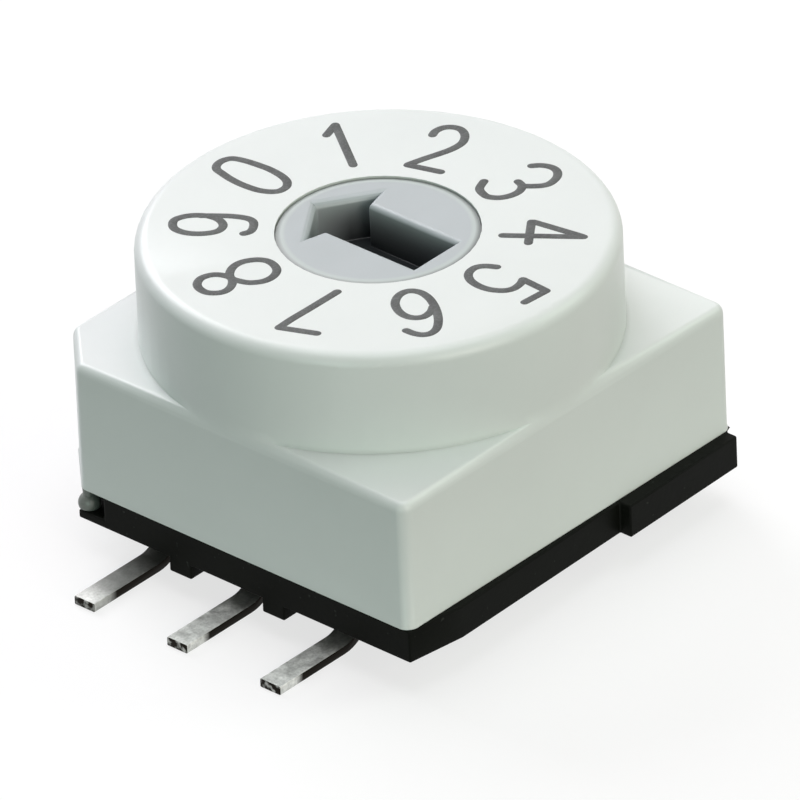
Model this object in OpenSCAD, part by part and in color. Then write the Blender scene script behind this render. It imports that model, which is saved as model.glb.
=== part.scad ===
// Rotary dip switch for surface mounting: a square moulded housing with a round dial drum, a screwdriver
// rotor flush with the dial, a detent of two sprung balls, a coded disc and six gull-wing terminals.
// Millimetres. The solder feet stand on z = 0 and the rotor turns about the Z axis. The arrow in the
// rotor points along +Y, at position 0, and the positions count clockwise seen from above.

/* [Housing] */
// Side of the square part of the housing
housing_side = 10; // [10:0.1:12]
// Height of the square part, from the base to the shoulder under the drum
housing_h = 3.1; // [2.9:0.05:4]
// Side wall of the housing round the base's boss
housing_wall = 0.9; // [0.7:0.05:1]
// Radius of the upright edges of the square part
housing_edge_r = 0.25; // [0.15:0.05:0.35]
// Radius of the edges round its top
shoulder_edge_r = 0.16; // [0.1:0.01:0.25]
// Length cut off each side at the corner that marks the first terminal
corner_cut = 1.1; // [0.8:0.05:1.4]
// Diameter of the drum that carries the dial
drum_d = 9.96; // [9:0.02:9.96]
// Height of the drum above the shoulder
drum_h = 2.15; // [1.9:0.05:3]
// Radius of the drum's top rim
drum_rim_r = 0.3; // [0.1:0.05:0.4]
// Thickness of the roof over the cored groove round the neck
roof_t = 0.75; // [0.5:0.05:1]
// Wall of the neck that guides the rotor
neck_wall = 0.8; // [0.6:0.05:1]
// Chamfer at the mouth of the rotor's bore
bore_chamfer = 0.02; // [0:0.01:0.1]

/* [Base] */
// Thickness of the base plate that shows under the housing
base_t = 0.75; // [0.65:0.05:1.2]
// Height of the boss on the base that plugs into the housing
boss_h = 0.85; // [0.6:0.05:1]
// How far the base stands out past the housing on its two lipped sides, at the widest place
lip = 0.2; // [0.1:0.01:0.3]
// How far each lip still stands out where it ends
lip_end = 0.02; // [0:0.01:0.1]
// Length over which each lip runs in to the corner
lip_taper = 1.4; // [0.8:0.1:2]
// How far the ledge stands out past the lip
ledge = 0.29; // [0.15:0.01:0.4]
// Length of the ledge along the side
ledge_l = 3.43; // [2:0.05:4]
// Distance from the ledge's end to the corner of the base
ledge_inset = 0.2; // [0:0.05:0.6]
// Width of the notch under the housing's cut corner, along the side of the terminals
notch = 0.95; // [0.6:0.05:1.1]
// Length of that notch along the side without terminals
notch_l = 1.6; // [1.5:0.05:2]
// Diameter of the staked head that holds the base at the notch
stake_d = 0.48; // [0.4:0.02:0.54]
// Diameter of the neck over that head
stake_neck_d = 0.26; // [0.2:0.02:0.3]
// Distance from the notch to the middle of the staked head
stake_back = 0.1; // [0.05:0.01:0.2]
// Height of the staked head's middle above the base's underside
stake_rise = 0.29; // [0.25:0.01:0.35]
// Thickness of the base left under the staked head
stake_web = 0.19; // [0.15:0.01:0.25]
// Width of the pocket for the staked head, from the notch
stake_pocket = 0.63; // [0.5:0.01:0.8]
// Chamfer at the pocket's outer edge
stake_pocket_edge = 0.1; // [0.05:0.01:0.15]
// Width of each stand-off pad under the base, along the side
pad_w = 0.6; // [0.4:0.05:0.8]
// Depth of each stand-off pad, in from the side
pad_l = 0.7; // [0.5:0.05:1]
// Height of the stand-off pads
pad_h = 0.33; // [0.2:0.01:0.5]
// Diameter of the pivot pin that centres the rotor
pivot_d = 1; // [0.7:0.05:1.2]
// Side of the cored square under the base
core_side = 5.4; // [4:0.1:6]
// Depth of that cored square
core_depth = 0.5; // [0.2:0.05:0.6]

/* [Terminals] */
// Height of the base's underside above the solder feet's seating plane
standoff = 0.85; // [0.75:0.05:1.2]
// Distance between neighbouring terminals
lead_pitch = 2.54; // [2.4:0.01:2.7]
// Width of a terminal's leg and foot
lead_w = 0.55; // [0.45:0.01:0.65]
// Thickness of the terminal strip
lead_t = 0.2; // [0.15:0.01:0.25]
// How far each foot reaches out past the housing's side
lead_reach = 1.55; // [1.1:0.05:2]
// Distance between the two rows of legs, middle to middle
row_pitch = 7.62; // [7.5:0.01:7.7]
// Inside radius of the bend between foot and leg
foot_bend_r = 0.65; // [0.3:0.01:0.65]
// Inside radius of the bends inside the base
arm_bend_r = 0.1; // [0.05:0.01:0.15]
// Height of a terminal's arm above the base's underside
arm_rise = 0.3; // [0.2:0.01:0.35]
// Distance from the middle of a leg in to the middle of the riser that carries the finger
riser_step = 0.61; // [0.55:0.01:0.7]
// Height that each riser stands above the base's boss
riser_h = 0.2; // [0.1:0.05:0.3]
// Width of a contact finger
finger_w = 0.3; // [0.2:0.01:0.32]
// Thickness of a contact finger
finger_t = 0.12; // [0.08:0.01:0.15]
// Radius of the rounded contact at a finger's end
contact_r = 0.18; // [0.12:0.01:0.2]
// Distance from the middle to each coded finger, along the side
finger_1_y = 2; // [1.9:0.05:2.1]
finger_2_y = 1.6; // [1.5:0.05:1.7]
finger_4_y = 1.2; // [1.1:0.05:1.3]
finger_8_y = 0.9; // [0.8:0.05:1]

/* [Rotor] */
// Diameter of the rotor's shaft
rotor_d = 4.2; // [4.1:0.05:4.4]
// Depth of the rotor's face below the dial
rotor_recess = 0.02; // [0:0.01:0.1]
// Width of the sloped edge round the rotor's face
rotor_chamfer = 0.18; // [0.05:0.01:0.25]
// Height of that sloped edge
rotor_chamfer_h = 0.03; // [0.02:0.01:0.12]
// Diameter of the flange that holds the detent and the coded disc
flange_d = 6.8; // [6.7:0.05:7]
// Thickness of the flange
flange_t = 1.1; // [1:0.05:1.2]
// Depth of the arrow slot
slot_depth = 1; // [0.8:0.05:1.1]
// Distance from the axis to the arrow's tip
arrow_tip = 1.69; // [1.5:0.01:1.8]
// Width across the arrow's head
arrow_head_w = 2.16; // [1.8:0.02:2.4]
// Distance from the axis to the back corners of the arrow's head
arrow_head_y = 0.96; // [0.8:0.02:1.1]
// Width of the arrow's shaft
arrow_shaft_w = 1.3; // [1:0.02:1.5]
// Distance from the axis to the place where shaft and head meet
arrow_neck_y = 0.84; // [0.7:0.02:0.95]
// Distance from the axis to the end of the arrow's shaft
arrow_tail = 1.55; // [1.3:0.01:1.7]
// Material left between the arrow slot and the seal groove
seal_web = 0.18; // [0.15:0.01:0.25]
// Height of the seal groove
seal_groove_h = 0.6; // [0.55:0.01:0.65]
// Depth of the seal groove
seal_groove_depth = 0.5; // [0.45:0.01:0.55]
// Height of the shaft between the seal groove and the flange
shaft_lip = 0.25; // [0.2:0.01:0.35]

/* [Code] */
// Number of positions
positions = 10; // [10, 16]
// Thickness of the coded disc
disc_t = 0.15; // [0.1:0.01:0.2]
// Mean radius of the common track
common_track_r = 1.1; // [1.05:0.01:1.12]
// Distance from the common track out to the first code track
first_track_step = 0.4; // [0.38:0.01:0.42]
// Distance between neighbouring code tracks
track_pitch = 0.35; // [0.33:0.01:0.37]
// Material between the posts' heads and the flange's edge
post_edge = 0.1; // [0.05:0.01:0.15]
// Width of the web left between two code tracks
track_web = 0.1; // [0.08:0.01:0.14]
// Diameter of the posts that hold the disc
post_d = 0.3; // [0.2:0.02:0.34]
// Diameter of their staked heads
post_head_d = 0.5; // [0.4:0.02:0.56]

/* [Detent] */
// Diameter of the detent balls
ball_d = 0.7; // [0.6:0.02:0.74]
// Material between the pivot's hole and each ball's hole
ball_web = 0.9; // [0.8:0.05:1]
// Depth of the detent notches
detent_depth = 0.12; // [0.08:0.01:0.2]
// Radius of the detent notches
detent_notch_r = 0.45; // [0.42:0.01:0.6]
// Diameter of the spring wire
spring_wire = 0.09; // [0.06:0.01:0.1]
// Turns of each detent spring
spring_turns = 5; // [4:1:6]

/* [Fits] */
// Radial clearance between the rotor's shaft and its bore
rotor_clear = 0.05; // [0.02:0.01:0.08]
// Radial clearance between the pivot pin and the rotor
pivot_clear = 0.04; // [0.02:0.01:0.08]
// Gap above and below the rotor's flange
flange_gap = 0.05; // [0.03:0.01:0.08]
// Radial gap between the flange and the detent ring
flange_clear = 0.15; // [0.12:0.01:0.2]
// Clearance round the base's boss in the housing
boss_clear = 0.03; // [0.01:0.01:0.06]
// Clearance round a terminal in the base
terminal_clear = 0.01; // [0.01:0.01:0.03]
// Clearance round a ball in its hole
ball_clear = 0.02; // [0.01:0.01:0.03]
// Gap between a ball and the crests that it passes
crest_clear = 0.02; // [0.01:0.01:0.05]
// Gap between a contact and the coded disc
contact_gap = 0.02; // [0.01:0.01:0.05]
// Clearance of the seal in its groove and bore
seal_clear = 0.03; // [0.01:0.01:0.04]
// Clearance round the posts in the coded disc
post_clear = 0.02; // [0.01:0.01:0.04]
// Distance from the coded disc's edges in to the flange's edge and out from the pivot's hole
disc_margin = 0.05; // [0.03:0.01:0.08]
disc_hole_margin = 0.2; // [0.15:0.01:0.25]

/* [Hidden] */
$fn = 64;
// overlap that lets a cut run cleanly past a face
past = 0.5;

half = housing_side / 2;
base_z0 = standoff;
base_z1 = base_z0 + base_t;
shoulder_z = base_z1 + housing_h;
dial_z = shoulder_z + drum_h;
boss_z1 = base_z1 + boss_h;

// the rotor, counted down from the dial
rotor_r = rotor_d / 2;
rotor_z1 = dial_z - rotor_recess;
slot_z0 = rotor_z1 - slot_depth;
groove_z1 = slot_z0 - seal_web;
groove_z0 = groove_z1 - seal_groove_h;
groove_r = rotor_r - seal_groove_depth;
flange_z1 = groove_z0 - shaft_lip;
flange_z0 = flange_z1 - flange_t;
flange_r = flange_d / 2;
disc_z0 = flange_z0 - disc_t;
neck_z0 = flange_z1 + flange_gap;
pivot_hole_r = pivot_d / 2 + pivot_clear;
pivot_z1 = flange_z1 - flange_gap;

// the cavities of the housing
bore_r = rotor_r + rotor_clear;
neck_r = bore_r + neck_wall;
detent_r = flange_r + flange_clear;
pocket_half = half - housing_wall;
chamber_z1 = disc_z0 - flange_gap;

// the detent
detent_z = (flange_z0 + flange_z1) / 2;
ball_r = ball_d / 2;
ball_x = detent_r - crest_clear - ball_r;
ball_hole_r = ball_r + ball_clear;
ball_hole_x0 = pivot_hole_r + ball_web;
spring_r = ball_hole_r - ball_clear - spring_wire / 2;

// the disc: one common track and four code tracks outside it
disc_r = flange_r - disc_margin;
post_circle_r = flange_r - post_head_d / 2 - post_edge;
disc_hole_r = pivot_hole_r + disc_hole_margin;
function track_r(bit) = common_track_r + first_track_step + track_pitch * (3 - log(bit) / log(2));
function bit_is_on(bit, position) = floor(position / bit + 0.001) % 2 == 1;

// the terminals: side (-1 left, 1 right), place of the leg in pitches, place of the finger along Y,
// radius of the track that the finger touches
leg_x = (row_pitch + lead_t) / 2;
riser_x = leg_x - lead_t - riser_step;
arm_z0 = base_z0 + arm_rise;
riser_z1 = boss_z1 + riser_h;
contact_z = disc_z0 - contact_gap;
COMMON_LEFT = [-1, 0, 0, common_track_r];
COMMON_RIGHT = [1, 0, 0, common_track_r];
BIT_1 = [-1, 1, finger_1_y, track_r(1)];
BIT_4 = [-1, -1, -finger_4_y, track_r(4)];
BIT_8 = [1, 1, finger_8_y, track_r(8)];
BIT_2 = [1, -1, -finger_2_y, track_r(2)];
TERMINALS = [COMMON_LEFT, COMMON_RIGHT, BIT_1, BIT_2, BIT_4, BIT_8];
function contact_x(t) = sqrt(t[3] * t[3] - t[2] * t[2]);
function contact_angle(t) = atan2(t[2], t[0] * contact_x(t));
function span_low(t) = min(t[1] * lead_pitch - lead_w / 2, t[2] - finger_w / 2);
function span_high(t) = max(t[1] * lead_pitch + lead_w / 2, t[2] + finger_w / 2);

// the staked head at the notch, and the pocket that it sits in
stake_x = -half + stake_d / 2;
stake_y = half - notch - stake_back;
pocket_y0 = half - notch - stake_pocket;

// How far the base stands out past the housing at a place along a lipped side
function lip_at(x) = lip - (lip - lip_end) * (x + half - lip_taper) / (housing_side - lip_taper);

// Corners of the square housing set in by an edge radius, anticlockwise from the near corner, with the
// cut corner at -X +Y.
function housing_corners(r) =
    let (h = half - r, c = corner_cut - r * (2 - sqrt(2)))
    [[-h, -h], [h, -h], [h, h], [-h + c, h], [-h, h - c]];

// Grows a polygon by a radius, so that its corners become round.
module rounded_outline(points, r) {
    n = len(points);
    polygon(points);
    for (i = [0:n - 1]) {
        edge = points[(i + 1) % n] - points[i];
        translate(points[i]) {
            circle(r = r);
            rotate(atan2(edge[1], edge[0])) translate([0, -r]) square([norm(edge), r]);
        }
    }
}

module quarter_disc(r) {
    intersection() {
        circle(r = r);
        square(r);
    }
}

// A block on that outline, with a smaller radius along its top edges.
module rounded_block(points, r, rim, h) {
    n = len(points);
    linear_extrude(h - rim) rounded_outline(points, r);
    linear_extrude(h) rounded_outline(points, r - rim);
    for (i = [0:n - 1]) {
        here = points[i];
        edge = points[(i + 1) % n] - here;
        edge_in = here - points[(i + n - 1) % n];
        heading = atan2(edge[1], edge[0]);
        turn = (heading - atan2(edge_in[1], edge_in[0]) + 360) % 360;
        translate([here[0], here[1], h - rim]) rotate(heading - 90) {
            rotate([90, 0, 0]) translate([r - rim, 0, -norm(edge)])
                linear_extrude(norm(edge)) quarter_disc(rim);
            rotate(-turn) rotate_extrude(angle = turn) translate([r - rim, 0]) quarter_disc(rim);
        }
    }
}

// Solid of revolution with a rounded top rim.
module rimmed_drum(r, h, rim) {
    rotate_extrude() {
        square([r - rim, h]);
        square([r, h - rim]);
        translate([r - rim, h - rim]) circle(r = rim);
    }
}

// Extrudes a profile drawn in X and Z along Y, about the plane at y.
module along_y(y, width) {
    translate([0, y + width / 2, 0]) rotate([90, 0, 0]) linear_extrude(width) children();
}

// Quarter ring of strip for a bend: start is the angle at which the quarter begins.
module strip_bend(inner, t, start) {
    rotate(start) difference() {
        circle(r = inner + t);
        circle(r = inner);
        translate([-inner - 2 * t, -inner - 2 * t]) square([2 * inner + 4 * t, inner + 2 * t]);
        translate([-inner - 2 * t, -past]) square([inner + 2 * t, inner + 2 * t + past]);
    }
}

module detent_notches() {
    for (i = [0:positions - 1])
        rotate(360 * i / positions)
            translate([detent_r + detent_notch_r - detent_depth, 0, chamber_z1 - past])
                cylinder(r = detent_notch_r, h = neck_z0 - chamber_z1 + past);
}

// Peg of the housing whose end is melted over the base's corner.
module stake() {
    difference() {
        translate([stake_x, stake_y, base_z0 + stake_rise]) {
            sphere(d = stake_d);
            cylinder(d = stake_neck_d, h = base_t - stake_rise + stake_neck_d);
        }
        translate([stake_x - stake_d, stake_y - stake_d, base_z0 - past])
            cube([2 * stake_d, 2 * stake_d, stake_web + boss_clear / 2 + past]);
    }
}

module housing() {
    color("#e2e6e4") difference() {
        union() {
            translate([0, 0, base_z1])
                rounded_block(housing_corners(housing_edge_r), housing_edge_r, shoulder_edge_r, housing_h);
            translate([0, 0, base_z1]) rimmed_drum(drum_d / 2, housing_h + drum_h, drum_rim_r);
            stake();
        }
        // pocket for the base's boss and the contact fingers
        translate([-pocket_half, -pocket_half, base_z1 - past])
            cube([2 * pocket_half, 2 * pocket_half, chamber_z1 - base_z1 + past]);
        // detent ring round the rotor's flange
        translate([0, 0, chamber_z1 - past]) cylinder(r = detent_r, h = neck_z0 - chamber_z1 + past);
        detent_notches();
        // cored groove that leaves the neck as an even wall
        translate([0, 0, neck_z0 - past]) difference() {
            cylinder(r = detent_r, h = dial_z - roof_t - neck_z0 + past);
            translate([0, 0, -past]) cylinder(r = neck_r, h = dial_z);
        }
        // bore of the rotor's shaft
        translate([0, 0, neck_z0 - past]) cylinder(r = bore_r, h = dial_z - neck_z0 + 2 * past);
        translate([0, 0, dial_z - bore_chamfer])
            cylinder(r1 = bore_r, r2 = bore_r + bore_chamfer + 0.01, h = bore_chamfer + 0.01);
    }
}

// The base's square with a lip and a ledge on the two sides without terminals.
module base_outline() {
    x0 = half - ledge_inset - ledge_l;
    x1 = half - ledge_inset;
    square(housing_side, center = true);
    for (side = [0, 1])
        mirror([0, side]) {
            polygon([
                [-half, -half], [-half + lip_taper, -half - lip], [half, -half - lip_end], [half, -half]
            ]);
            polygon([
                [x0, -half], [x0, -half - lip_at(x0) - ledge], [x1, -half - lip_at(x1) - ledge], [x1, -half]
            ]);
        }
}

// Pocket of the staked head, with a chamfered edge on the base's side.
module stake_pocket_outline() {
    edge = stake_pocket_edge;
    inner = -half + stake_d + edge;
    polygon([
        [-half - past, pocket_y0 - edge - past], [-half, pocket_y0 - edge], [-half + edge, pocket_y0],
        [inner, pocket_y0], [inner, half], [-half - past, half]
    ]);
}

// Channels that the terminals fill in the base.
module terminal_channel(t) {
    c = terminal_clear;
    top = boss_z1 + past;
    mirror([t[0] < 0 ? 1 : 0, 0, 0]) {
        translate([leg_x - lead_t - c, t[1] * lead_pitch - lead_w / 2 - c, base_z0 - past])
            cube([lead_t + 2 * c, lead_w + 2 * c, arm_z0 - base_z0 + past]);
        translate([riser_x - c, span_low(t) - c, arm_z0 - c])
            cube([leg_x - riser_x + 2 * c, span_high(t) - span_low(t) + 2 * c, lead_t + 2 * c]);
        translate([riser_x - c, t[2] - finger_w / 2 - c, arm_z0])
            cube([lead_t + 2 * c, finger_w + 2 * c, top - arm_z0]);
    }
}

module base() {
    boss_half = pocket_half - boss_clear;
    color("#1d1f1c") difference() {
        union() {
            translate([0, 0, base_z0]) linear_extrude(base_t) base_outline();
            translate([-boss_half, -boss_half, base_z0])
                cube([2 * boss_half, 2 * boss_half, boss_z1 - base_z0]);
            translate([0, 0, base_z1]) cylinder(d = pivot_d, h = pivot_z1 - base_z1);
            for (turn = [0, 180], y = [-0.5, 0.5])
                rotate(turn) translate([half - pad_l, y * lead_pitch - pad_w / 2, base_z0 - pad_h])
                    cube([pad_l, pad_w, pad_h + base_t / 2]);
        }
        for (t = TERMINALS) terminal_channel(t);
        // notch under the housing's cut corner
        translate([-half - past, half - notch, base_z0 - past])
            cube([notch_l + past, notch + lip + past, base_t + past]);
        translate([0, 0, base_z0 + stake_web]) linear_extrude(base_t - stake_web + past / 2)
            stake_pocket_outline();
        translate([-core_side / 2, -core_side / 2, base_z0 - past])
            cube([core_side, core_side, core_depth + past]);
    }
}

// Foot, leg and lower bends of a terminal, seen from the side.
module leg_profile() {
    foot_x0 = leg_x + foot_bend_r;
    leg_z0 = lead_t + foot_bend_r;
    leg_z1 = arm_z0 - arm_bend_r;
    arm_x1 = leg_x - lead_t - arm_bend_r;
    translate([foot_x0, 0]) square([half + lead_reach - foot_x0, lead_t]);
    translate([foot_x0, leg_z0]) strip_bend(foot_bend_r, lead_t, 180);
    translate([leg_x - lead_t, leg_z0]) square([lead_t, leg_z1 - leg_z0]);
    translate([arm_x1, leg_z1]) strip_bend(arm_bend_r, lead_t, 0);
}

// Riser, contact finger and upper bend of a terminal, seen from the side.
module finger_profile(t) {
    bend_x = riser_x + lead_t + arm_bend_r;
    bend_z = arm_z0 + lead_t + arm_bend_r;
    start = [riser_x + finger_t / 2, riser_z1 - finger_t / 2];
    end = [contact_x(t), contact_z - finger_t / 2];
    run = end - start;
    side = [-run[1], run[0]] / norm(run) * finger_t / 2;
    translate([bend_x, bend_z]) strip_bend(arm_bend_r, lead_t, 180);
    translate([riser_x, bend_z]) square([lead_t, riser_z1 - finger_t / 2 - bend_z]);
    translate(start) circle(d = finger_t);
    polygon([start - side, start + side, end + side, end - side]);
    translate([end[0], contact_z - contact_r]) circle(r = contact_r);
}

module terminal(t) {
    arm_x0 = riser_x + lead_t + arm_bend_r;
    arm_x1 = leg_x - lead_t - arm_bend_r;
    color("#b9bcb8") mirror([t[0] < 0 ? 1 : 0, 0, 0]) {
        along_y(t[1] * lead_pitch, lead_w) leg_profile();
        translate([arm_x0, span_low(t), arm_z0]) cube([arm_x1 - arm_x0, span_high(t) - span_low(t), lead_t]);
        along_y(t[2], finger_w) finger_profile(t);
    }
}

module arrow() {
    polygon([
        [0, arrow_tip], [-arrow_head_w / 2, arrow_head_y], [-arrow_shaft_w / 2, arrow_neck_y],
        [-arrow_shaft_w / 2, -arrow_tail], [arrow_shaft_w / 2, -arrow_tail],
        [arrow_shaft_w / 2, arrow_neck_y], [arrow_head_w / 2, arrow_head_y]
    ]);
}

module rotor() {
    color("#c3cbce") difference() {
        union() {
            rotate_extrude() polygon([
                [0, flange_z0], [flange_r, flange_z0], [flange_r, flange_z1], [rotor_r, flange_z1],
                [rotor_r, groove_z0], [groove_r, groove_z0], [groove_r, groove_z1], [rotor_r, groove_z1],
                [rotor_r, rotor_z1 - rotor_chamfer_h], [rotor_r - rotor_chamfer, rotor_z1], [0, rotor_z1]
            ]);
            for (i = [0:3])
                rotate(45 + 90 * i) translate([post_circle_r, 0, 0]) {
                    translate([0, 0, disc_z0]) cylinder(d = post_d, h = disc_t + flange_t / 8);
                    translate([0, 0, disc_z0 - flange_gap]) cylinder(d = post_head_d, h = flange_gap);
                }
        }
        translate([0, 0, slot_z0]) linear_extrude(slot_depth + past) arrow();
        translate([0, 0, flange_z0 - past]) cylinder(r = pivot_hole_r, h = flange_t + past);
        for (turn = [0, 180])
            rotate(turn) translate([ball_hole_x0, 0, detent_z]) rotate([0, 90, 0])
                cylinder(r = ball_hole_r, h = flange_r - ball_hole_x0 + past);
    }
}

module rotor_seal() {
    seal_r = (bore_r - groove_r) / 2 - seal_clear;
    color("#30302e") translate([0, 0, (groove_z0 + groove_z1) / 2]) rotate_extrude()
        translate([(bore_r + groove_r) / 2, 0]) circle(r = seal_r);
}

// Sector of a code track where the disc is cut through.
module track_window(r, angle, width) {
    track_half = (track_pitch - track_web) / 2;
    reach = 2 * disc_r;
    intersection() {
        difference() {
            circle(r = r + track_half);
            circle(r = r - track_half);
        }
        polygon([
            [0, 0], reach * [cos(angle - width / 2), sin(angle - width / 2)],
            reach * [cos(angle + width / 2), sin(angle + width / 2)]
        ]);
    }
}

module code_disc() {
    step = 360 / positions;
    color("#d8b45c") translate([0, 0, disc_z0]) linear_extrude(disc_t) difference() {
        circle(r = disc_r);
        circle(r = disc_hole_r);
        for (i = [0:3])
            rotate(45 + 90 * i) translate([post_circle_r, 0]) circle(d = post_d + 2 * post_clear);
        for (code = [[1, BIT_1], [2, BIT_2], [4, BIT_4], [8, BIT_8]])
            for (position = [0:positions - 1])
                if (!bit_is_on(code[0], position))
                    track_window(code[1][3], contact_angle(code[1]) + position * step, step + 1);
    }
}

module detent_ball(turn) {
    color("#c8cacc") rotate(turn) translate([ball_x, 0, detent_z]) sphere(d = ball_d);
}

// Round wire wound along Z: rings of points set square to the helix, joined into one skin.
function coil_ring(r, wire, turns, length, sides, s) =
    let (
        a = 360 * turns * s,
        rise = length / (2 * PI * r * turns),
        along = [-sin(a), cos(a), rise] / norm([1, rise]),
        out = [cos(a), sin(a), 0],
        up = cross(out, along)
    )
    [for (k = [0:sides - 1])
        [r * cos(a), r * sin(a), length * s]
            + wire / 2 * (cos(360 * k / sides) * out + sin(360 * k / sides) * up)];

module coil_spring(r, wire, turns, length) {
    sides = 6;
    steps = 12 * turns;
    points = [for (i = [0:steps]) each coil_ring(r, wire, turns, length, sides, i / steps)];
    skin = [for (i = [0:steps - 1], k = [0:sides - 1])
        [i * sides + k, i * sides + (k + 1) % sides,
            (i + 1) * sides + (k + 1) % sides, (i + 1) * sides + k]];
    polyhedron(
        points = points,
        faces = concat(
            skin,
            [[for (k = [0:sides - 1]) sides - 1 - k]],
            [[for (k = [0:sides - 1]) steps * sides + k]]
        )
    );
}

module detent_spring(turn) {
    gap = spring_wire / 2 + crest_clear;
    start = ball_hole_x0 + gap;
    length = ball_x - ball_r - gap - start;
    color("#9b9d9e") rotate(turn) translate([start, 0, detent_z]) rotate([0, 90, 0])
        coil_spring(spring_r, spring_wire, spring_turns, length);
}

housing();
base();
rotor();
rotor_seal();
code_disc();
terminal(COMMON_LEFT);  // terminal_common_left
terminal(COMMON_RIGHT);  // terminal_common_right
terminal(BIT_1);  // terminal_bit_1
terminal(BIT_2);  // terminal_bit_2
terminal(BIT_4);  // terminal_bit_4
terminal(BIT_8);  // terminal_bit_8
detent_ball(0);  // detent_ball_right
detent_ball(180);  // detent_ball_left
detent_spring(0);  // detent_spring_right
detent_spring(180);  // detent_spring_left
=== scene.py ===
"""A ten-position rotary DIP switch for surface mounting, shown as in its photograph."""
import math
import bmesh
import bpy
from mathutils import Matrix, Vector


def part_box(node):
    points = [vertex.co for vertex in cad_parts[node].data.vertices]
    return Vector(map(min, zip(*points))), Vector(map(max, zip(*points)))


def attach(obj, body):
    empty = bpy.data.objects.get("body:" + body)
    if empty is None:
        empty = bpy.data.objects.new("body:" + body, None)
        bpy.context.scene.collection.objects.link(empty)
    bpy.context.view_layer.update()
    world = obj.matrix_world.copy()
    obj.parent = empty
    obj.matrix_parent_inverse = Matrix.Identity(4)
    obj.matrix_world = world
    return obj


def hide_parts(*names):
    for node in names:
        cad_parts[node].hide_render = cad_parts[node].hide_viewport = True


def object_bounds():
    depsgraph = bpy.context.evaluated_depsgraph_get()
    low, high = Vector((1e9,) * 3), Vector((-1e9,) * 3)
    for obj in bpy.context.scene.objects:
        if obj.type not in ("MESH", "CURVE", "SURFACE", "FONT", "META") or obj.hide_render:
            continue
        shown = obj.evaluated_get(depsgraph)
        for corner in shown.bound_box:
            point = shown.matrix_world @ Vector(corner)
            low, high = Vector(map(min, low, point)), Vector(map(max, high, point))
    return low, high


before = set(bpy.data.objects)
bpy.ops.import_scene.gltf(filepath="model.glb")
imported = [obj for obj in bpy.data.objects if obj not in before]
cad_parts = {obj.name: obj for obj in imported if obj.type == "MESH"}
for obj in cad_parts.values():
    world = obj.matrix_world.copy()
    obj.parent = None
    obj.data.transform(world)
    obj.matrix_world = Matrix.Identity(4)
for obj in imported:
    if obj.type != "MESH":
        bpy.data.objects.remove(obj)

scene = bpy.context.scene
cad_box = [list(corner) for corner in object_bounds()]
mm = 0.001


# The view: a long lens far off, so that the edges stay parallel as in the picture. It looks down
# on the corner between the row of terminals and the plain side, turned a little in the frame.
target = Vector((0, 0, 3.85)) * mm
target_in_picture = 383.5, 355.1
distance = 400 * mm
image_side = 800
pixels_per_mm = 49.0
azimuth, elevation, roll = (math.radians(a) for a in (-47.2, 31.6, -2.5))
back = Vector((
    math.sin(azimuth) * math.cos(elevation),
    -math.cos(azimuth) * math.cos(elevation),
    math.sin(elevation),
))
level = Vector((0, 0, 1)).cross(back).normalized()
upright = back.cross(level)
right = math.cos(roll) * level + math.sin(roll) * upright
up = math.cos(roll) * upright - math.sin(roll) * level
off_right, off_down = ((at - image_side / 2) / pixels_per_mm * mm for at in target_in_picture)
place = target + back * distance - off_right * right + off_down * up
lens = bpy.data.cameras.new("camera")
lens.sensor_width = 36
lens.lens = lens.sensor_width * distance / mm * pixels_per_mm / image_side
lens.clip_start, lens.clip_end = 0.01, 20
camera = bpy.data.objects.new("camera", lens)
rows = [(right[i], up[i], back[i], place[i]) for i in range(3)]
camera.matrix_world = Matrix(rows + [(0, 0, 0, 1)])
scene.collection.objects.link(camera)
scene.camera = camera
scene.view_settings.view_transform = "Standard"


# The studio: a matt white table that runs to a white backdrop, with soft boxes behind the part,
# above it and at both sides. The strongest stands behind, so that the dial is the brightest face,
# and the plain side gets more light than the row of terminals.
def linear(code):
    """The linear colour of a #RRGGBB code."""
    parts = [int(code[i:i + 2], 16) / 255 for i in (1, 3, 5)]
    return tuple(c / 12.92 if c <= 0.04045 else ((c + 0.055) / 1.055) ** 2.4 for c in parts) + (1,)


def add(tree, kind, inputs=None, **settings):
    """Adds a node with its settings. Each input, by name or number, is a value or what feeds it."""
    made = tree.nodes.new(kind)
    for name, value in settings.items():
        setattr(made, name, value)
    for name, value in (inputs or {}).items():
        if isinstance(name, int):
            socket = made.inputs[name]
        else:
            socket = next(s for s in made.inputs if s.enabled and s.name == name)
        if isinstance(value, bpy.types.Node):
            value = next(s for s in value.outputs if s.enabled)
        if isinstance(value, bpy.types.NodeSocket):
            tree.links.new(value, socket)
        else:
            socket.default_value = value
    return made


def blank(name):
    """A new material with no nodes yet, and its node tree."""
    material = bpy.data.materials.new(name)
    material.use_nodes = True
    material.node_tree.nodes.clear()
    return material, material.node_tree


def seen_directly(tree):
    """Adds nodes that give 1 to the eye, to mirrors and to glass, and 0 to anything it lights."""
    rays = add(tree, "ShaderNodeLightPath").outputs
    seen = add(tree, "ShaderNodeMath", {
        0: rays["Is Camera Ray"], 1: rays["Is Glossy Ray"],
    }, operation="MAXIMUM")
    return add(tree, "ShaderNodeMath", {
        0: seen, 1: rays["Is Transmission Ray"],
    }, operation="MAXIMUM")


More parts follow.
